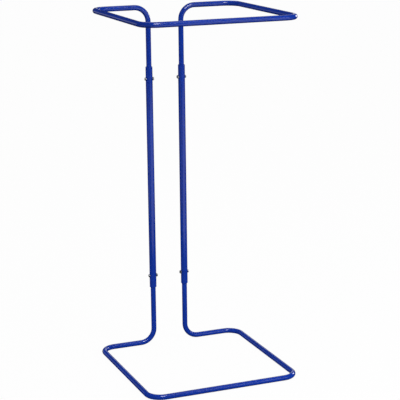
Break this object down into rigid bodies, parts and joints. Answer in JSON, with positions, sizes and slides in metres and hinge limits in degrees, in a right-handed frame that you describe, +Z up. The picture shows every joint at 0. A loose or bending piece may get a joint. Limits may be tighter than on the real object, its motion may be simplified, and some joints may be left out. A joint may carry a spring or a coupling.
{
  "type": "lab bag holder stand",
  "caption": "Free-standing coated wire-rod stand: a square base loop and a square top loop joined by two upright tubes, to hold a laboratory waste bag open by its rim.",
  "frame": {"origin": "on the floor, at the middle of the stand's outline seen from above", "axes": "+Z up; +X along the open back side from the left leg to the right one, seen from the front; +Y from the closed front side to the legs"},
  "size_m": [0.2858, 0.2874, 0.645],
  "materials": {
    "blue_epoxy": "glossy baked epoxy coat on steel",
    "zinc_steel": "bright zinc plating"
  },
  "bodies": {
    "root": {"base_frame": "blue_epoxy", "top_frame": "blue_epoxy", "left_tube": "blue_epoxy", "right_tube": "blue_epoxy", "lower_left_screw": "zinc_steel", "lower_left_nut": "zinc_steel", "upper_left_screw": "zinc_steel", "upper_left_nut": "zinc_steel", "lower_right_screw": "zinc_steel", "lower_right_nut": "zinc_steel", "upper_right_screw": "zinc_steel", "upper_right_nut": "zinc_steel"}
  },
  "joints": []
}
